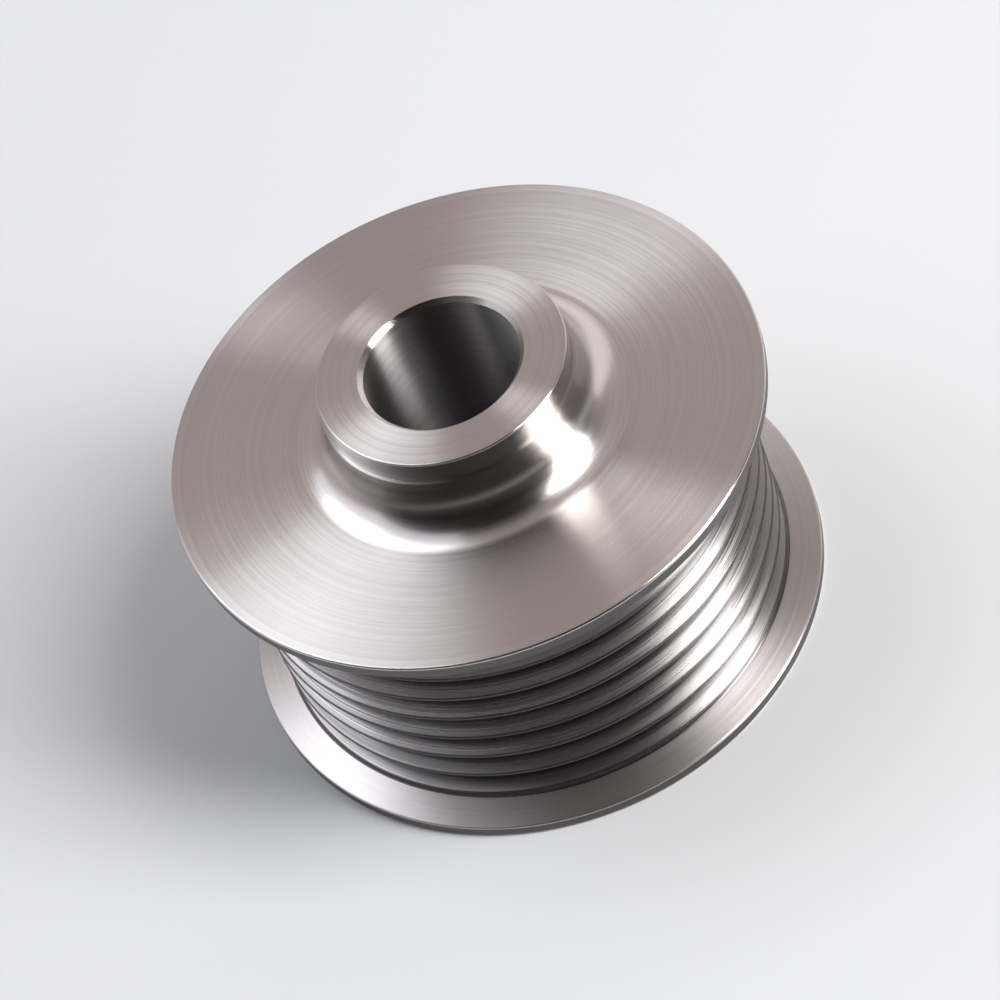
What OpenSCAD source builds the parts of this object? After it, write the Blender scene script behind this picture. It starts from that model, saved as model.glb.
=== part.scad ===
// Flanged belt pulley with V grooves for a ribbed belt, turned in one piece from steel bar.
// The bore's axis is Z. The rear face lies on Z = 0, the hub points up, and the origin is the
// centre of the rear face. The whole part is one section, drawn in radius and height, and turned.

/* [Flanges] */
// Diameter over the flanges
flange_d = 65; // [62:0.5:90]
// Thickness of the front flange at its rim, on the hub's side
front_flange_t = 1.5; // [1:0.1:5]
// Thickness of the rear flange at its rim
rear_flange_t = 1.5; // [1:0.1:5]
// Height that each flange's inner face gains from its rim to the track, which guides the belt in
flange_rise = 0.75; // [0:0.05:1.2]
// Chamfer on the flanges' edges
flange_chamfer = 0.25; // [0.1:0.05:0.45]
// Fillet between each flange's inner face and the track
foot_fillet_r = 0.3; // [0.1:0.05:0.35]

/* [Belt track] */
// Diameter over the ribs' crests
track_d = 57.7; // [54:0.1:60]
// Number of V grooves, one for each rib of the belt
groove_count = 7; // [3:1:10]
// Distance from one groove to the next
groove_pitch = 3.56; // [3.2:0.02:4.8]
// Angle between a groove's two flanks
groove_angle = 40; // [34:1:44]
// Radius that rounds each crest
crest_r = 0.25; // [0.15:0.05:0.4]
// Radius that rounds each groove's root
root_r = 0.5; // [0.3:0.05:0.6]
// Plain track from the rear flange's foot to the first crest
rear_land = 0.35; // [0.35:0.05:6]
// Plain track from the last crest to the front flange's foot
front_land = 1.65; // [0.35:0.05:6]

/* [Hub] */
// Diameter of the hub's nose
nose_d = 27; // [24:0.5:30]
// Length of the nose, down to its step
nose_l = 2.7; // [1:0.1:3.5]
// Width of the flat step from the nose out to the hub
step_w = 0.35; // [0.1:0.05:0.8]
// Height of the hub above the front flange
hub_h = 8.8; // [8:0.1:20]
// Fillet that sweeps the hub into the front flange
hub_fillet_r = 4.5; // [2:0.1:4.7]
// Chamfer on the nose's edge
nose_chamfer = 0.2; // [0.1:0.05:0.6]

/* [Bore] */
// Diameter of the bore
bore_d = 17; // [10:0.5:20]
// Chamfer at both mouths of the bore
bore_chamfer = 0.5; // [0.1:0.05:1]

/* [Rear relief] */
// Diameter of the boss that seats against the shaft's collar
boss_d = 26; // [23:0.5:30]
// Outer diameter of the relief turned round the boss
relief_d = 42; // [36:0.5:44]
// Depth of the relief
relief_depth = 12; // [3:0.5:20]
// Fillet in the relief's corners
relief_fillet_r = 1.5; // [0.5:0.1:2.5]
// Chamfer on the relief's edges
relief_chamfer = 0.3; // [0.1:0.05:0.6]

/* [Hidden] */

// Smoothness of the turned surfaces, of the large arcs and of the small ones
turn_fn = 72;
arc_fn = 32;
small_arc_fn = 16;
// How far cutting shapes run past the metal, and how far joined shapes run into each other
past = 0.5;

flange_r = flange_d / 2;
track_r = track_d / 2;
nose_r = nose_d / 2;
bore_r = bore_d / 2;
boss_r = boss_d / 2;
relief_r = relief_d / 2;
hub_r = nose_r + step_w;

// Heights, from the rear face up. The track runs from one flange's foot to the other's.
track_z = rear_flange_t + flange_rise;
first_crest_z = track_z + rear_land;
last_crest_z = first_crest_z + groove_count * groove_pitch;
track_top_z = last_crest_z + front_land;
front_z = track_top_z + flange_rise + front_flange_t;
nose_z = front_z + hub_h;
step_z = nose_z - nose_l;

// Angle by which each flange's inner face leans away from the belt
flange_lean = atan2(flange_rise, flange_r - track_r);

// A flank leans from the radial direction by half the groove's angle. The same straight flank
// touches the crest's circle and the root's circle, which sets the radius of the root's centre.
lean = groove_angle / 2;
crest_c = track_r - crest_r;
root_c = crest_c - (groove_pitch / 2 * cos(lean) - crest_r - root_r) / sin(lean);
// Radii at which the flank leaves the crest's circle and the root's circle
flank_top = crest_c + crest_r * sin(lean);
flank_foot = root_c - root_r * sin(lean);

// Rectangle of the section, between two radii and two heights
module band(r0, r1, z0, z1) {
    translate([r0, z0])
        square([r1 - r0, z1 - z0]);
}

// Cut that breaks the edge at radius r and height z with a chamfer of leg c.
// The edge's metal lies towards side_r and side_z, each 1 or -1.
module edge_break(r, z, c, side_r, side_z) {
    polygon([
        [r - side_r * past, z - side_z * past],
        [r + side_r * (c + past), z - side_z * past],
        [r - side_r * past, z + side_z * (c + past)]
    ]);
}

// Fillet that fills the inside corner at radius r and height z.
// The corner opens towards side_r and side_z, each 1 or -1.
module corner_fill(r, z, fillet_r, side_r, side_z, fn) {
    centre = [r + side_r * fillet_r, z + side_z * fillet_r];
    buried = [r - side_r * past, z - side_z * past];
    difference() {
        translate([min(centre.x, buried.x), min(centre.y, buried.y)])
            square(fillet_r + past);
        translate(centre)
            circle(r = fillet_r, $fn = fn);
    }
}

// One V groove: straight flanks that run down to a rounded root
module groove() {
    top_half = groove_pitch / 2 - crest_r * cos(lean);
    foot_half = root_r * cos(lean);
    polygon([
        [flank_foot, -foot_half],
        [flank_top, -top_half],
        [flank_top, top_half],
        [flank_foot, foot_half]
    ]);
    translate([root_c, 0])
        circle(r = root_r, $fn = small_arc_fn);
}

// Fillet in the corner between the track and a flange's leaning inner face, which meet at height z
module foot_fill(z) {
    centre = [
        track_r + foot_fillet_r,
        z + foot_fillet_r * (1 - sin(flange_lean)) / cos(flange_lean)
    ];
    reach = foot_fillet_r + past;
    through_track = centre - [reach, 0];
    through_face = centre - reach * [sin(flange_lean), cos(flange_lean)];
    difference() {
        polygon([
            centre,
            through_track,
            [through_track.x, through_face.y],
            through_face
        ]);
        translate(centre)
            circle(r = foot_fillet_r, $fn = small_arc_fn);
    }
}

// The belt track between the flanges: grooves, rounded crests and the plain land at each end
module track_section() {
    difference() {
        band(bore_r, flank_top, first_crest_z, last_crest_z);
        for (i = [0:groove_count - 1])
            translate([0, first_crest_z + (i + 0.5) * groove_pitch])
                groove();
    }
    for (i = [0:groove_count])
        translate([crest_c, first_crest_z + i * groove_pitch])
            circle(r = crest_r, $fn = small_arc_fn);
    band(bore_r, track_r, track_z - past, first_crest_z);
    band(bore_r, track_r, last_crest_z, track_top_z + past);
}

// One flange, with its flat outer face on height 0 and the belt above it. It is rim_t thick at
// its rim, and its inner face thickens it towards the track.
module flange(rim_t) {
    foot_z = rim_t + flange_rise;
    difference() {
        polygon([
            [bore_r, 0],
            [flange_r, 0],
            [flange_r, rim_t],
            [track_r, foot_z],
            [bore_r, foot_z]
        ]);
        edge_break(flange_r, 0, flange_chamfer, -1, 1);
        edge_break(flange_r, rim_t, flange_chamfer, -1, -1);
    }
    foot_fill(foot_z);
}

// The hub: a nose with a broken edge, a flat step and a wide fillet down to the flange
module hub_section() {
    difference() {
        band(bore_r, nose_r, front_z - past, nose_z);
        edge_break(nose_r, nose_z, nose_chamfer, -1, -1);
    }
    band(bore_r, hub_r, front_z - past, step_z);
    corner_fill(hub_r, front_z, hub_fillet_r, 1, 1, arc_fn);
}

// The relief turned into the rear face, round the boss, with rounded corners and broken edges
module relief_section() {
    difference() {
        band(boss_r, relief_r, -past, relief_depth);
        corner_fill(boss_r, relief_depth, relief_fillet_r, 1, -1, arc_fn);
        corner_fill(relief_r, relief_depth, relief_fillet_r, -1, -1, arc_fn);
    }
    edge_break(boss_r, 0, relief_chamfer, -1, 1);
    edge_break(relief_r, 0, relief_chamfer, 1, 1);
}

// Half of the pulley's section, from the bore outwards
module pulley_section() {
    difference() {
        union() {
            track_section();
            flange(rear_flange_t);
            translate([0, front_z])
                mirror([0, 1])
                    flange(front_flange_t);
            hub_section();
        }
        edge_break(bore_r, 0, bore_chamfer, 1, 1);
        edge_break(bore_r, nose_z, bore_chamfer, 1, -1);
        relief_section();
    }
}

// The pulley, turned from its section
module pulley() {
    color("silver")
        rotate_extrude($fn = turn_fn)
            pulley_section();
}

pulley();
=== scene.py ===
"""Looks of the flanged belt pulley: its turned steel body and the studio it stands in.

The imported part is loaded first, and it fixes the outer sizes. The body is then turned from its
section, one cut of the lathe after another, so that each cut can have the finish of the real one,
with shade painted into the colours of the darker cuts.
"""

import math

import bmesh
import bpy
from bpy.props import FloatProperty, FloatVectorProperty, IntProperty, PointerProperty
from bpy.types import Operator, Panel, PropertyGroup
from mathutils import Matrix, Vector


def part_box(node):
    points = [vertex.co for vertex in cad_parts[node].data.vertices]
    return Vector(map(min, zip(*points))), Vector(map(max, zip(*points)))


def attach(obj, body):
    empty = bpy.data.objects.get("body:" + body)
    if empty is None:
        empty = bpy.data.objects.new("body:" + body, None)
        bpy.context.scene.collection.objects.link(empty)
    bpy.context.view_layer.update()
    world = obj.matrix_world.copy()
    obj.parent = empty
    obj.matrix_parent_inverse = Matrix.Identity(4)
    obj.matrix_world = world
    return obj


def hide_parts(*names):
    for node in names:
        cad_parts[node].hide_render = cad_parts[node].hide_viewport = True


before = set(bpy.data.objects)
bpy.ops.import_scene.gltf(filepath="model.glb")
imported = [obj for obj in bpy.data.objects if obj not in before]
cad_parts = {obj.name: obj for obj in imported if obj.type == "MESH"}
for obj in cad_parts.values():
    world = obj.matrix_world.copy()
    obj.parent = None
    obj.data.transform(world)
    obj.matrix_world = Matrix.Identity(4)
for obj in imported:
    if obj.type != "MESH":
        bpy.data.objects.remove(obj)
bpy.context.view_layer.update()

bl_info = {
    "name": "Belt Pulley Looks",
    "version": (1, 0, 0),
    "blender": (4, 5, 0),
    "location": "3D View > Sidebar > Pulley",
    "description": "Turns the steel belt pulley and sets the studio it stands in",
    "category": "Object",
}

CAD_NODE = "pulley"
BODY = "root"
CAD_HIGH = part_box(CAD_NODE)[1]

# Runs of the section that end at the same point are joined within this distance, in metres
WELD_DISTANCE = 1e-6
# Faces that meet at more than this angle keep a sharp edge between them
SHARP_ANGLE = math.radians(30)
# Length in metres of the short step at each end of a line that meets curves
EASE = 0.00008
# Each kind of tool mark: its pitch in fine pitches, and its share of the marks
RING_MIX = ((1, 0.5), (4, 0.3), (16, 0.2))
# Turn of the anisotropy that makes the steel rough across the rings and smooth along them
ACROSS_RINGS = 0.25
# Width in millimetres of the camera's frame, on which the lens is given
FRAME_WIDTH = 36.0
PLAIN_WHITE = (1.0, 1.0, 1.0)


def length(name, description, default):
    """A length in metres that the sidebar shows in the scene's units."""
    return FloatProperty(
        name=name, description=description, default=default, min=0.0, precision=5,
        subtype="DISTANCE", unit="LENGTH",
    )


def share(name, description, default):
    """A number from 0 to 1, such as a roughness."""
    return FloatProperty(
        name=name, description=description, default=default, min=0.0, max=1.0,
        subtype="FACTOR",
    )


def angle(name, description, degrees):
    """An angle, given in degrees and kept in radians."""
    return FloatProperty(
        name=name, description=description, default=math.radians(degrees), subtype="ANGLE",
        unit="ROTATION",
    )


def colour(name, description, default):
    """A linear colour."""
    return FloatVectorProperty(
        name=name, description=description, default=default, size=3, min=0.0, max=1.0,
        subtype="COLOR",
    )


def count(name, description, default):
    """A whole number of steps or features."""
    return IntProperty(name=name, description=description, default=default, min=1)


class PulleySection(PropertyGroup):
    """Sizes of the pulley's section, as radius and height above the rear face."""

    flange_radius: length("Flange radius", "Radius of both flanges", CAD_HIGH.x)
    full_height: length("Height", "From the rear face to the hub's face", CAD_HIGH.z)
    front_flange: length("Front flange", "Thickness of the front flange at its rim", 0.0015)
    rear_flange: length("Rear flange", "Thickness of the rear flange at its rim", 0.0015)
    flange_rise: length("Flange rise", "What a flange gains from its rim to the track", 0.00075)
    flange_round: length("Flange round", "Radius that rounds the flanges' edges", 0.00025)
    foot_fillet: length("Foot fillet", "Fillet between a flange and the track", 0.0003)
    track_radius: length("Track radius", "Radius over the ribs' crests", 0.02885)
    groove_count: count("Grooves", "Number of V grooves", 7)
    groove_pitch: length("Groove pitch", "Distance from one groove to the next", 0.00356)
    groove_angle: angle("Groove angle", "Angle between a groove's flanks", 40.0)
    crest_round: length("Crest radius", "Radius that rounds each crest", 0.00025)
    root_round: length("Root radius", "Radius that rounds each root", 0.0005)
    rear_land: length("Rear land", "Plain track from the rear flange to the first crest", 0.00035)
    nose_radius: length("Nose radius", "Radius of the hub's nose", 0.0135)
    nose_length: length("Nose length", "Length of the nose down to its step", 0.0027)
    step_width: length("Step width", "Width of the flat step out to the hub", 0.00035)
    hub_height: length("Hub height", "Height of the hub above the front flange", 0.0088)
    hub_fillet: length("Hub fillet", "Fillet that sweeps the hub into the flange", 0.0045)
    nose_round: length("Nose round", "Radius that rounds the nose's edge", 0.0002)
    bore_radius: length("Bore radius", "Radius of the bore", 0.0085)
    bore_chamfer: length("Bore chamfer", "Chamfer at both mouths of the bore", 0.0005)
    boss_radius: length("Boss radius", "Radius of the boss in the rear relief", 0.013)
    relief_radius: length("Relief radius", "Outer radius of the rear relief", 0.021)
    relief_depth: length("Relief depth", "Depth of the rear relief", 0.012)
    relief_fillet: length("Relief fillet", "Fillet in the relief's corners", 0.0015)
    relief_chamfer: length("Relief chamfer", "Chamfer on the relief's edges", 0.0003)
    turn_steps: count("Steps round", "Steps in one full turn", 240)
    wide_steps: count("Wide arc steps", "Steps in the hub's fillet", 24)
    small_steps: count("Small arc steps", "Steps in each small arc", 12)


class SteelFinish(PropertyGroup):
    """Colours and surface of the turned steel, cut by cut. The darker colours are painted shade."""

    steel: colour("Steel", "Colour of the flat faces and the hub", (0.66, 0.615, 0.60))
    steel_shade: colour("Steel shade", "Tool marks in the faces and the hub", (0.60, 0.555, 0.54))
    # Painted shade: the inner faces' steel and marks are slightly darker copies of the steel, which
    # tone down their highlights
    guide_steel_painted_shade: colour("Guide steel", "Colour of the flanges' inner faces", (0.57, 0.53, 0.52))
    guide_marks_painted_shade: colour("Guide shade", "Tool marks in the inner faces", (0.51, 0.475, 0.465))
    # Painted shade: the track's steel and its marks are darker copies of the faces' steel, for the
    # dark reflections in the grooves
    track_steel_painted_shade: colour("Side steel", "Colour of the belt track", (0.54, 0.515, 0.51))
    track_marks_painted_shade: colour("Side shade", "Tool marks in the belt track", (0.42, 0.40, 0.395))
    # Painted shade: the bore's steel and its marks are darker copies of the steel, for the shade
    # and dark reflections down the bore
    bore_steel_painted_shade: colour("Bore steel", "Colour of the bore's wall", (0.46, 0.447, 0.443))
    bore_marks_painted_shade: colour("Bore shade", "Tool marks in the bore", (0.37, 0.36, 0.356))
    # Painted shade: the grooves' roots are coloured near black for the shade and dark reflections
    # deep in the grooves
    root_painted_shade: colour("Root shade", "Colour down in the grooves' roots", (0.055, 0.052, 0.051))
    # Painted shade: the hub's upright side and its nose are coloured dark for the dark reflections
    # there
    hub_painted_shade: colour("Hub shade", "Colour of the hub's upright side", (0.34, 0.32, 0.31))
    # Painted shade: the crests' rounded tops are coloured dark, a painted dark reflection
    crest_painted_shade: colour("Crest shade", "Colour of the crests' rounded tops", (0.15, 0.14, 0.14))
    # Painted shade: the rims' steel and marks are near-black copies of the steel, a painted dark
    # reflection
    rim_steel_painted_shade: colour("Rim steel", "Colour of the flanges' rims", (0.15, 0.145, 0.145))
    rim_marks_painted_shade: colour("Rim shade", "Tool marks in the flanges' rims", (0.10, 0.097, 0.096))
    face_roughness: share("Face roughness", "Roughness of the turned faces", 0.228)
    hub_roughness: share("Hub roughness", "Roughness of the hub's side and fillet", 0.23)
    guide_roughness: share("Guide roughness", "Roughness of the inner faces and rims", 0.34)
    track_roughness: share("Track roughness", "Roughness of the grooves", 0.38)
    bore_roughness: share("Bore roughness", "Roughness of the reamed bore", 0.33)
    rear_roughness: share("Rear roughness", "Roughness of the rear face and relief", 0.40)
    face_stretch: share("Face stretch", "Anisotropy that the ring marks give a face", 1.0)
    hub_stretch: share("Hub stretch", "Anisotropy of the hub, inner faces and rims", 0.78)
    side_stretch: share("Side stretch", "Anisotropy of the belt track", 0.93)
    bore_stretch: share("Bore stretch", "Anisotropy of the reamed bore", 1.0)
    ring_pitch: length("Ring pitch", "Distance between fine tool marks", 0.0002)
    ring_depth: length("Ring depth", "Depth of the fine tool marks", 0.0000012)
    marks_low: share("Marks low", "Level of noise below which a tool mark is full", 0.36)
    marks_high: share("Marks high", "Level of noise above which the steel is clear", 0.64)
    cloud_width: length("Cloud width", "Size of the soft patches left by handling", 0.009)
    cloud_tint: share("Cloud tint", "Share of the soft patches in the change of colour", 0.3)
    cloud_gloss: share("Cloud gloss", "Change of roughness over the soft patches", 0.06)
    # Where the painted shade of the hub, the grooves' roots and the crests is full and where it
    # ends
    hub_painted_shade_full: share("Hub shade full", "Share of the hub's fillet in full shade", 0.06)
    hub_painted_shade_end: share("Hub shade end", "Share of the hub's fillet where its shade ends", 0.25)
    root_painted_shade_full: share("Root shade full", "Depth of the roots' full shade, in pitches", 0.63)
    root_painted_shade_end: share("Root shade end", "Depth where their shade ends, in pitches", 0.15)
    crest_painted_shade_full: share("Crest shade full", "Depth of the crests' full shade, in radii", 0.3)


class PulleyStudio(PropertyGroup):
    """Camera, lamps and floor."""

    camera_distance: length("Distance", "From the camera to the point it looks at", 0.3959)
    camera_elevation: angle("Elevation", "Camera's height above the horizon", 49.03)
    camera_roll: angle("Roll", "Lean of the pulley's axis to the left of upright", 23.55)
    aim_height: length("Aim height", "Height of the point that the camera looks at", 0.0165)
    lens: FloatProperty(
        name="Lens", description="Focal length on a 36 mm wide frame, in millimetres",
        default=131.4, min=10.0, unit="CAMERA",
    )
    floor: colour("Floor", "Colour of the floor", (0.63, 0.635, 0.64))
    floor_roughness: share("Floor roughness", "Roughness of the floor", 0.9)
    floor_size: length("Floor size", "Width of the floor", 6.0)
    sky_colour: colour("Sky colour", "Colour of the light from all round", (0.48, 0.43, 0.42))
    dim_start: FloatProperty(
        name="Dimming starts", description="Y of the direction at which the sky starts to dim",
        default=0.4,
    )
    dim_full: FloatProperty(
        name="Dimming ends", description="Y of the direction at which the sky is dim", default=-0.4,
    )
    dim_level: share("Dim level", "The dim side's share of the sky's light", 0.02)
    key_colour: colour("Key colour", "Colour of the softbox and its core", (0.85, 0.92, 1.0))
    key_power: FloatProperty(
        name="Key power", description="Power of the large softbox and its core", default=6.0,
        unit="POWER",
    )
    core_share: share("Core share", "Share of the key power that the softbox's core gives", 0.4)
    strip_power: FloatProperty(
        name="Strip power", description="Power of the upright strip", default=28.0, unit="POWER",
    )
    window_power: FloatProperty(
        name="Window power", description="Power of the low side light", default=0.45, unit="POWER",
    )


class SectionPen:
    """Draws one run of the section as joined edges, radius along X and height along Z."""

    def __init__(self, bm, radius, height):
        self.bm = bm
        self.tip = bmesh.ops.create_vert(bm, co=(radius, 0.0, height))["vert"][0]

    def line_to(self, radius, height):
        grown = bmesh.ops.extrude_vert_indiv(self.bm, verts=[self.tip])
        self.tip = grown["verts"][0]
        self.tip.co = (radius, 0.0, height)

    def tangent_to(self, radius, height):
        """A line that leaves and meets smooth curves: a short step at each end keeps it flat."""
        start = self.tip.co.copy()
        end = Vector((radius, 0.0, height))
        step = (end - start).normalized() * EASE
        self.line_to((start + step).x, (start + step).z)
        self.line_to((end - step).x, (end - step).z)
        self.line_to(radius, height)

    def arc(self, centre_radius, centre_height, turn, steps):
        """An arc from the tip. A positive turn goes from outwards towards upwards."""
        spun = bmesh.ops.spin(
            self.bm, geom=[self.tip], cent=(centre_radius, 0.0, centre_height),
            axis=(0.0, -1.0, 0.0), dvec=(0.0, 0.0, 0.0), angle=turn, steps=steps,
            use_merge=False, use_normal_flip=False, use_duplicate=False,
        )
        self.tip = next(e for e in spun["geom_last"] if isinstance(e, bmesh.types.BMVert))


def main_heights(section):
    """Heights that several cuts share, from the rear face up."""
    track_low = section.rear_flange + section.flange_rise
    first_crest = track_low + section.rear_land
    last_crest = first_crest + section.groove_count * section.groove_pitch
    front = section.full_height - section.hub_height
    track_high = front - section.front_flange - section.flange_rise
    return track_low, first_crest, last_crest, track_high, front


def flange_lean(section):
    """Angle by which a flange's inner face leans away from the belt."""
    return math.atan2(section.flange_rise, section.flange_radius - section.track_radius)


def round_reach(section, radius):
    """Distance from a corner of 90 degrees and the lean to where a round in it begins."""
    return radius * math.tan(math.pi / 4 - flange_lean(section) / 2)


def inner_edge(section, inner, side):
    """Height at which the round of a flange's inner edge begins; the belt lies towards side."""
    return inner - side * round_reach(section, section.flange_round)


def inner_face_end(section, inner, side):
    """Where a flange's inner face meets its rounded edge; the belt lies towards side."""
    reach, lean = round_reach(section, section.flange_round), flange_lean(section)
    return section.flange_radius - reach * math.cos(lean), inner + side * reach * math.sin(lean)


def foot_end(section, foot, side):
    """Where a flange's inner face meets the fillet at its foot; the belt lies towards side."""
    reach, lean = round_reach(section, section.foot_fillet), flange_lean(section)
    return section.track_radius + reach * math.cos(lean), foot - side * reach * math.sin(lean)


def cut_bore(bm, section):
    """The bore's wall, between the chamfers at its mouths."""
    pen = SectionPen(bm, section.bore_radius, section.bore_chamfer)
    pen.line_to(section.bore_radius, section.full_height - section.bore_chamfer)


def cut_nose_face(bm, section):
    """The chamfer at the bore's front mouth, the hub's end face and its rounded edge."""
    centre_radius = section.nose_radius - section.nose_round
    centre_height = section.full_height - section.nose_round
    pen = SectionPen(bm, section.bore_radius, section.full_height - section.bore_chamfer)
    pen.line_to(section.bore_radius + section.bore_chamfer, section.full_height)
    pen.tangent_to(centre_radius, section.full_height)
    pen.arc(centre_radius, centre_height, -math.pi / 2, section.small_steps)


def cut_nose_side(bm, section):
    """The nose's upright side, below its rounded edge."""
    pen = SectionPen(bm, section.nose_radius, section.full_height - section.nose_round)
    pen.line_to(section.nose_radius, section.full_height - section.nose_length)


def cut_step(bm, section):
    """The flat step from the nose out to the hub."""
    pen = SectionPen(bm, section.nose_radius, section.full_height - section.nose_length)
    pen.line_to(section.nose_radius + section.step_width, section.full_height - section.nose_length)


def cut_hub_side(bm, section):
    """The hub's side, with the fillet that sweeps out of it."""
    front = main_heights(section)[-1]
    hub_radius = section.nose_radius + section.step_width
    centre_radius, centre_height = hub_radius + section.hub_fillet, front + section.hub_fillet
    pen = SectionPen(bm, hub_radius, section.full_height - section.nose_length)
    pen.tangent_to(hub_radius, centre_height)
    pen.arc(centre_radius, centre_height, math.pi / 2, section.wide_steps)


def cut_front_face(bm, section):
    """The front flange's face, from the foot of the hub's fillet round the flange's edge."""
    front = main_heights(section)[-1]
    centre_radius = section.flange_radius - section.flange_round
    pen = SectionPen(bm, section.nose_radius + section.step_width + section.hub_fillet, front)
    pen.tangent_to(centre_radius, front)
    pen.arc(centre_radius, front - section.flange_round, -math.pi / 2, section.small_steps)


def cut_front_rim(bm, section):
    """The front flange's rim, with the rounded edge towards the belt."""
    front = main_heights(section)[-1]
    edge = inner_edge(section, front - section.front_flange, -1)
    turn = flange_lean(section) - math.pi / 2
    pen = SectionPen(bm, section.flange_radius, front - section.flange_round)
    pen.line_to(section.flange_radius, edge)
    pen.arc(section.flange_radius - section.flange_round, edge, turn, section.small_steps)


def cut_front_guide(bm, section):
    """The front flange's inner face, which leans away from the belt."""
    track_high = main_heights(section)[3]
    pen = SectionPen(bm, *inner_face_end(section, track_high + section.flange_rise, -1))
    pen.tangent_to(*foot_end(section, track_high, -1))


def cut_rear_guide(bm, section):
    """The rear flange's inner face, which leans away from the belt, and its inner edge."""
    track_low = main_heights(section)[0]
    inner = track_low - section.flange_rise
    edge = inner_edge(section, inner, 1)
    turn = flange_lean(section) - math.pi / 2
    pen = SectionPen(bm, *foot_end(section, track_low, 1))
    pen.tangent_to(*inner_face_end(section, inner, 1))
    pen.arc(section.flange_radius - section.flange_round, edge, turn, section.small_steps)


def cut_rear_rim(bm, section):
    """The rear flange's rim, between its rounded edges."""
    pen = SectionPen(bm, section.flange_radius, inner_edge(section, section.rear_flange, 1))
    pen.line_to(section.flange_radius, section.flange_round)


def cut_track(bm, section):
    """The track from one flange's foot to the other's: plain lands, rounded crests, V grooves."""
    track_low, first_crest, last_crest, track_high, _ = main_heights(section)
    foot_reach = round_reach(section, section.foot_fillet)
    foot_turn = math.pi / 2 - flange_lean(section)
    foot_centre = section.track_radius + section.foot_fillet
    lean = section.groove_angle / 2
    upright = math.pi / 2 - lean
    half_pitch = section.groove_pitch / 2
    crest_centre = section.track_radius - section.crest_round
    half_width = half_pitch * math.cos(lean) - section.crest_round - section.root_round
    root_centre = crest_centre - half_width / math.sin(lean)
    crest_side = crest_centre + section.crest_round * math.sin(lean)
    crest_drop = section.crest_round * math.cos(lean)
    root_side = root_centre - section.root_round * math.sin(lean)
    root_rise = section.root_round * math.cos(lean)

    pen = SectionPen(bm, *foot_end(section, track_high, -1))
    pen.arc(foot_centre, track_high - foot_reach, foot_turn, section.small_steps)
    pen.tangent_to(section.track_radius, last_crest)
    pen.arc(crest_centre, last_crest, -upright, section.small_steps)
    for groove in reversed(range(section.groove_count)):
        below = first_crest + groove * section.groove_pitch
        middle = below + half_pitch
        pen.tangent_to(root_side, middle + root_rise)
        pen.arc(root_centre, middle, 2 * upright, section.small_steps)
        pen.tangent_to(crest_side, below + crest_drop)
        pen.arc(crest_centre, below, -2 * upright if groove else -upright, section.small_steps)
    pen.line_to(section.track_radius, track_low + foot_reach)
    pen.arc(foot_centre, track_low + foot_reach, foot_turn, section.small_steps)


def cut_rear(bm, section):
    """The rear flange's outer edge and face, the relief and its boss, and the bore's rear mouth."""
    chamfer, fillet, depth = section.relief_chamfer, section.relief_fillet, section.relief_depth
    centre_radius = section.flange_radius - section.flange_round
    pen = SectionPen(bm, section.flange_radius, section.flange_round)
    pen.arc(centre_radius, section.flange_round, -math.pi / 2, section.small_steps)
    pen.line_to(section.relief_radius + chamfer, 0.0)
    pen.line_to(section.relief_radius, chamfer)
    pen.tangent_to(section.relief_radius, depth - fillet)
    pen.arc(section.relief_radius - fillet, depth - fillet, math.pi / 2, section.small_steps)
    pen.tangent_to(section.boss_radius + fillet, depth)
    pen.arc(section.boss_radius + fillet, depth - fillet, math.pi / 2, section.small_steps)
    pen.tangent_to(section.boss_radius, chamfer)
    pen.line_to(section.boss_radius - chamfer, 0.0)
    pen.line_to(section.bore_radius + section.bore_chamfer, 0.0)
    pen.line_to(section.bore_radius, section.bore_chamfer)


def turn_run(cut, section, finish_index, mesh):
    """Draws one run of the section, turns it round the bore's axis and leaves it in the mesh."""
    bm = bmesh.new()
    cut(bm, section)
    bmesh.ops.spin(
        bm, geom=bm.verts[:] + bm.edges[:], cent=(0.0, 0.0, 0.0), axis=(0.0, 0.0, 1.0),
        dvec=(0.0, 0.0, 0.0), angle=2 * math.pi, steps=section.turn_steps, use_merge=True,
        use_normal_flip=False, use_duplicate=False,
    )
    for face in bm.faces:
        face.material_index = finish_index
    bm.to_mesh(mesh)
    bm.free()


class Signal:
    """An output in a shader tree. Arithmetic on signals adds Math nodes to the tree."""

    def __init__(self, tree, socket):
        self.tree = tree
        self.socket = socket

    def math(self, operation, *values, clamp=False):
        settings = {"operation": operation, "use_clamp": clamp}
        return self.tree.add("ShaderNodeMath", settings, dict(enumerate(values)))

    def __add__(self, other):
        return self.math("ADD", self, other)

    def __radd__(self, other):
        return self.math("ADD", other, self)

    def __sub__(self, other):
        return self.math("SUBTRACT", self, other)

    def __rsub__(self, other):
        return self.math("SUBTRACT", other, self)

    def __mul__(self, other):
        return self.math("MULTIPLY", self, other)

    def __rmul__(self, other):
        return self.math("MULTIPLY", other, self)

    def clamped(self):
        """This value held between 0 and 1."""
        return self.math("ADD", self, 0.0, clamp=True)


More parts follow.
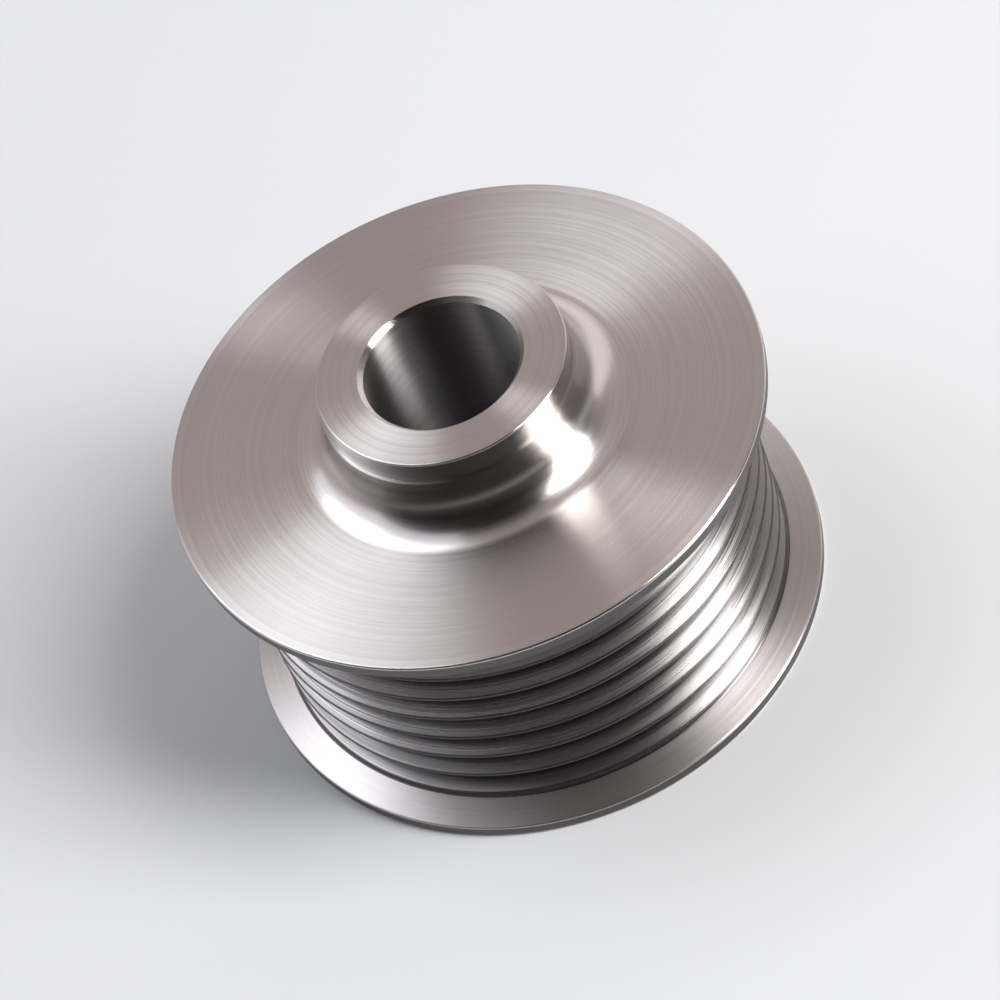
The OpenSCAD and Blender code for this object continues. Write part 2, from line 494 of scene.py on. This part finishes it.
class ShaderTree:
    """Adds nodes to a node tree by type, settings and inputs, and hands back their outputs."""

    def __init__(self, node_tree):
        self.nodes = node_tree.nodes
        self.links = node_tree.links
        self.nodes.clear()

    def add(self, node_type, settings=None, inputs=None, output=0):
        node = self.nodes.new(node_type)
        for name, value in (settings or {}).items():
            setattr(node, name, value)
        for key, value in (inputs or {}).items():
            if isinstance(value, Signal):
                self.links.new(value.socket, node.inputs[key])
            else:
                node.inputs[key].default_value = value
        return Signal(self, node.outputs[output] if node.outputs else None)

    def ring_noise(self, along, pitch):
        """Noise that changes only along one coordinate, as rings left by a lathe do."""
        settings = {"noise_dimensions": "1D"}
        inputs = {"W": along, "Scale": 1 / pitch, "Detail": 1.0, "Roughness": 0.6}
        return self.add("ShaderNodeTexNoise", settings, inputs)

    def cloud_noise(self, place, width):
        """Soft noise through space, for handling and for uneven cuts."""
        inputs = {"Vector": place, "Scale": 1 / width, "Detail": 3.0, "Roughness": 0.55}
        return self.add("ShaderNodeTexNoise", None, inputs)

    def span(self, value, low, high):
        """0 at low, 1 at high, and smooth between them."""
        settings = {"interpolation_type": "SMOOTHSTEP"}
        inputs = {"Value": value, "From Min": low, "From Max": high}
        return self.add("ShaderNodeMapRange", settings, inputs)

    def blend(self, factor, first, second):
        """A mix of two colours."""
        inputs = {0: factor, 6: first, 7: second}
        return self.add("ShaderNodeMix", {"data_type": "RGBA"}, inputs, output=2)


def rgba(linear_colour):
    """A colour property as the four numbers that a node's socket takes."""
    return (*linear_colour, 1.0)


def steel_finish(name, finish, roughness, stretch, tones, depth_share, gloss_range, ramps=()):
    """Turned steel. The tool marks are rings, so they follow radius and height alone.

    The tones are the colour in the tool marks and the colour of the steel between them. The
    marks' depth is the ring depth times depth_share, and the roughness varies by gloss_range.
    Each ramp blends between the steel and a painted shade from one radius to another. Its last
    value says whether the shade lies inside the ramp or outside it.
    """
    material = bpy.data.materials.new(name)
    material.use_nodes = True
    tree = ShaderTree(material.node_tree)
    place = tree.add("ShaderNodeTexCoord", output=3)
    flat = tree.add("ShaderNodeVectorMath", {"operation": "MULTIPLY"}, {0: place, 1: (1, 1, 0)})
    radius = tree.add("ShaderNodeVectorMath", {"operation": "LENGTH"}, {0: flat}, output=1)
    height = tree.add("ShaderNodeSeparateXYZ", None, {0: place}, output=2)
    along = radius - height

    fine, medium, broad = (
        tree.ring_noise(along, finish.ring_pitch * pitches) * weight for pitches, weight in RING_MIX
    )
    marks = fine + medium + broad
    streaks = tree.span(marks, finish.marks_low, finish.marks_high)
    cloud = tree.cloud_noise(place, finish.cloud_width)

    tint = streaks * (1.0 - finish.cloud_tint) + cloud * finish.cloud_tint
    base = tree.blend(tint, rgba(tones[0]), rgba(tones[1]))
    # Painted shade: each ramp darkens the steel towards a shade colour over a band of radius
    for start, end, shade, inside in ramps:
        outwards = tree.span(radius, start, end)
        pair = (rgba(shade), base) if inside else (base, rgba(shade))
        base = tree.blend(outwards, *pair)
    gloss = roughness + (streaks - 0.5) * gloss_range + (cloud - 0.5) * finish.cloud_gloss
    bump = tree.add(
        "ShaderNodeBump", None,
        {"Strength": 1.0, "Distance": finish.ring_depth * depth_share, "Height": marks},
    )
    surface = tree.add(
        "ShaderNodeBsdfPrincipled", None,
        {
            "Base Color": base, "Metallic": 1.0, "Roughness": gloss.clamped(),
            "Anisotropic": stretch, "Anisotropic Rotation": ACROSS_RINGS, "Normal": bump,
        },
    )
    tree.add("ShaderNodeOutputMaterial", None, {0: surface})
    return material


def finishes(section, finish):
    """Each cut of the lathe with the finish that it leaves, and the shade painted into some of
    them.
    """
    # Painted shade: the tones for the track, the bore, the rims, the inner faces and the nose are
    # darker copies of the steel
    bright, track_painted_tones = (finish.steel_shade, finish.steel), (finish.track_marks_painted_shade, finish.track_steel_painted_shade)
    dark, dim = (finish.bore_marks_painted_shade, finish.bore_steel_painted_shade), (finish.rim_marks_painted_shade, finish.rim_steel_painted_shade)
    inner, upright = (finish.guide_marks_painted_shade, finish.guide_steel_painted_shade), (finish.hub_painted_shade, finish.hub_painted_shade)

    hub_radius = section.nose_radius + section.step_width
    hub_full = hub_radius + section.hub_fillet * finish.hub_painted_shade_full
    hub_end = hub_radius + section.hub_fillet * finish.hub_painted_shade_end
    root_full = section.track_radius - section.groove_pitch * finish.root_painted_shade_full
    root_end = section.track_radius - section.groove_pitch * finish.root_painted_shade_end
    crest_start = section.track_radius - section.crest_round
    crest_full = section.track_radius - section.crest_round * finish.crest_painted_shade_full
    # Painted shade by radius: the foot of the hub's upright side, the grooves' roots and the
    # crests' tops
    painted_hub_ramps = [(hub_full, hub_end, finish.hub_painted_shade, True)]
    painted_groove_ramps = [
        (root_full, root_end, finish.root_painted_shade, True),
        (crest_start, crest_full, finish.crest_painted_shade, False),
    ]

    face = steel_finish(
        "turned_face", finish, finish.face_roughness, finish.face_stretch, bright,
        depth_share=0.25, gloss_range=0.03,
    )
    nose = steel_finish(
        "turned_nose", finish, finish.hub_roughness, finish.hub_stretch, upright,
        depth_share=0.4, gloss_range=0.04,
    )
    hub = steel_finish(
        "turned_hub", finish, finish.hub_roughness, finish.hub_stretch, bright,
        depth_share=0.4, gloss_range=0.04, ramps=painted_hub_ramps,
    )
    guide = steel_finish(
        "turned_guide", finish, finish.guide_roughness, finish.hub_stretch, inner,
        depth_share=0.25, gloss_range=0.04,
    )
    rim = steel_finish(
        "turned_rim", finish, finish.guide_roughness, finish.hub_stretch, dim,
        depth_share=0.4, gloss_range=0.05,
    )
    track = steel_finish(
        "grooved_track", finish, finish.track_roughness, finish.side_stretch, track_painted_tones,
        depth_share=3.5, gloss_range=0.26, ramps=painted_groove_ramps,
    )
    bore = steel_finish(
        "reamed_bore", finish, finish.bore_roughness, finish.bore_stretch, dark,
        depth_share=0.15, gloss_range=0.03,
    )
    rear = steel_finish(
        "turned_rear", finish, finish.rear_roughness, finish.face_stretch, bright,
        depth_share=1.6, gloss_range=0.06,
    )
    return [
        (cut_bore, bore), (cut_nose_face, face), (cut_nose_side, nose), (cut_step, face),
        (cut_hub_side, hub), (cut_front_face, face), (cut_front_rim, rim),
        (cut_front_guide, guide), (cut_track, track), (cut_rear_guide, guide),
        (cut_rear_rim, rim), (cut_rear, rear),
    ]


class TurnPulley(Operator):
    """Turn the pulley's body from its section, each cut with its own finish"""

    bl_idname = "pulley.turn_body"
    bl_label = "Turn the Pulley"

    def execute(self, context):
        section = context.scene.pulley_section
        finish = context.scene.pulley_finish
        mesh = bpy.data.meshes.new("turned_pulley")
        run_mesh = bpy.data.meshes.new("turned_run")
        bm = bmesh.new()
        for cut, material in finishes(section, finish):
            if material.name not in mesh.materials:
                mesh.materials.append(material)
            turn_run(cut, section, mesh.materials.find(material.name), run_mesh)
            bm.from_mesh(run_mesh)
        bpy.data.meshes.remove(run_mesh)
        bmesh.ops.remove_doubles(bm, verts=bm.verts, dist=WELD_DISTANCE)
        bmesh.ops.recalc_face_normals(bm, faces=bm.faces)
        for face in bm.faces:
            face.smooth = True
        bm.to_mesh(mesh)
        bm.free()
        mesh.set_sharp_from_angle(angle=SHARP_ANGLE)
        pulley = bpy.data.objects.new("turned_pulley", mesh)
        context.collection.objects.link(pulley)
        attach(pulley, BODY)
        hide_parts(CAD_NODE)
        return {"FINISHED"}


def softbox(context, name, towards, distance, width, height, turn, power, tint):
    """A soft rectangular lamp that faces the pulley from a direction, turned about its own axis."""
    lamp = bpy.data.lights.new(name, "AREA")
    lamp.shape = "RECTANGLE"
    lamp.size = width
    lamp.size_y = height
    lamp.energy = power
    lamp.color = tint
    box = bpy.data.objects.new(name, lamp)
    context.collection.objects.link(box)
    way = Vector(towards).normalized()
    aim = Vector((0.0, 0.0, CAD_HIGH.z / 2))
    facing = (-way).to_track_quat("-Z", "Y").to_matrix().to_4x4()
    lean = Matrix.Rotation(turn, 4, "Z")
    box.matrix_world = Matrix.Translation(aim + way * distance) @ facing @ lean


def studio_sky(context, studio):
    """Even light from behind and above, which dims towards the camera's side."""
    world = bpy.data.worlds.new("studio_sky")
    world.use_nodes = True
    tree = ShaderTree(world.node_tree)
    way = tree.add("ShaderNodeTexCoord", output=0)
    depth = tree.add("ShaderNodeSeparateXYZ", None, {0: way}, output=1)
    level = tree.span(depth, studio.dim_full, studio.dim_start) * (1.0 - studio.dim_level)
    glow = tree.add(
        "ShaderNodeBackground", None,
        {"Color": rgba(studio.sky_colour), "Strength": level + studio.dim_level},
    )
    tree.add("ShaderNodeOutputWorld", None, {0: glow})
    context.scene.world = world


def studio_floor(context, studio):
    """The plain pale floor that the pulley stands on."""
    material = bpy.data.materials.new("pale_floor")
    material.use_nodes = True
    tree = ShaderTree(material.node_tree)
    surface = tree.add(
        "ShaderNodeBsdfPrincipled", None,
        {"Base Color": rgba(studio.floor), "Roughness": studio.floor_roughness},
    )
    tree.add("ShaderNodeOutputMaterial", None, {0: surface})
    mesh = bpy.data.meshes.new("studio_floor")
    bm = bmesh.new()
    bmesh.ops.create_grid(bm, x_segments=1, y_segments=1, size=studio.floor_size / 2)
    bm.to_mesh(mesh)
    bm.free()
    mesh.materials.append(material)
    floor = bpy.data.objects.new("studio_floor", mesh)
    context.collection.objects.link(floor)


def studio_camera(context, studio):
    """The camera, at the photograph's viewing angle and distance."""
    data = bpy.data.cameras.new("studio_camera")
    data.sensor_width = FRAME_WIDTH
    data.lens = studio.lens
    data.clip_start = 0.01
    data.clip_end = 20.0
    camera = bpy.data.objects.new("studio_camera", data)
    context.collection.objects.link(camera)
    rise = studio.camera_elevation
    back = Vector((0.0, -math.cos(rise), math.sin(rise)))
    aim = Vector((0.0, 0.0, studio.aim_height))
    facing = (-back).to_track_quat("-Z", "Y").to_matrix().to_4x4()
    lean = Matrix.Rotation(-studio.camera_roll, 4, "Z")
    camera.matrix_world = Matrix.Translation(aim + back * studio.camera_distance) @ facing @ lean
    context.scene.camera = camera


class SetStage(Operator):
    """Set the camera, the floor, the sky and the lamps round the pulley"""

    bl_idname = "pulley.set_stage"
    bl_label = "Set the Stage"

    def execute(self, context):
        studio = context.scene.pulley_studio
        context.scene.view_settings.view_transform = "Standard"
        studio_camera(context, studio)
        studio_floor(context, studio)
        studio_sky(context, studio)
        softbox(
            context, "key_softbox", towards=(-0.595, 0.286, 0.752), distance=1.2,
            width=1.12, height=1.3, turn=math.radians(7),
            power=studio.key_power * (1.0 - studio.core_share), tint=studio.key_colour,
        )
        softbox(
            context, "key_core", towards=(-0.405, 0.422, 0.811), distance=1.2,
            width=0.47, height=0.7, turn=math.radians(50),
            power=studio.key_power * studio.core_share, tint=studio.key_colour,
        )
        softbox(
            context, "strip_light", towards=(0.735, -0.403, 0.545), distance=1.2,
            width=0.5, height=1.5, turn=math.radians(-6),
            power=studio.strip_power, tint=PLAIN_WHITE,
        )
        softbox(
            context, "low_window", towards=(0.691, 0.672, 0.266), distance=0.6,
            width=0.32, height=0.74, turn=math.radians(-64),
            power=studio.window_power, tint=PLAIN_WHITE,
        )
        return {"FINISHED"}


class PulleyPanel(Panel):
    """Lists the pulley's operators and their settings"""

    bl_idname = "VIEW3D_PT_pulley"
    bl_label = "Belt Pulley"
    bl_space_type = "VIEW_3D"
    bl_region_type = "UI"
    bl_category = "Pulley"

    def draw(self, context):
        scene = context.scene
        self.layout.operator(TurnPulley.bl_idname)
        self.layout.operator(SetStage.bl_idname)
        for settings in (scene.pulley_section, scene.pulley_finish, scene.pulley_studio):
            box = self.layout.box()
            for name in settings.bl_rna.properties.keys():
                if name not in ("rna_type", "name"):
                    box.prop(settings, name)


CLASSES = (PulleySection, SteelFinish, PulleyStudio, TurnPulley, SetStage, PulleyPanel)


def register():
    for cls in CLASSES:
        bpy.utils.register_class(cls)
    bpy.types.Scene.pulley_section = PointerProperty(type=PulleySection)
    bpy.types.Scene.pulley_finish = PointerProperty(type=SteelFinish)
    bpy.types.Scene.pulley_studio = PointerProperty(type=PulleyStudio)


def unregister():
    del bpy.types.Scene.pulley_studio
    del bpy.types.Scene.pulley_finish
    del bpy.types.Scene.pulley_section
    for cls in reversed(CLASSES):
        bpy.utils.unregister_class(cls)


def main():
    """Builds the looks in order."""
    register()
    bpy.ops.pulley.turn_body()
    bpy.ops.pulley.set_stage()


if __name__ == "__main__":
    main()
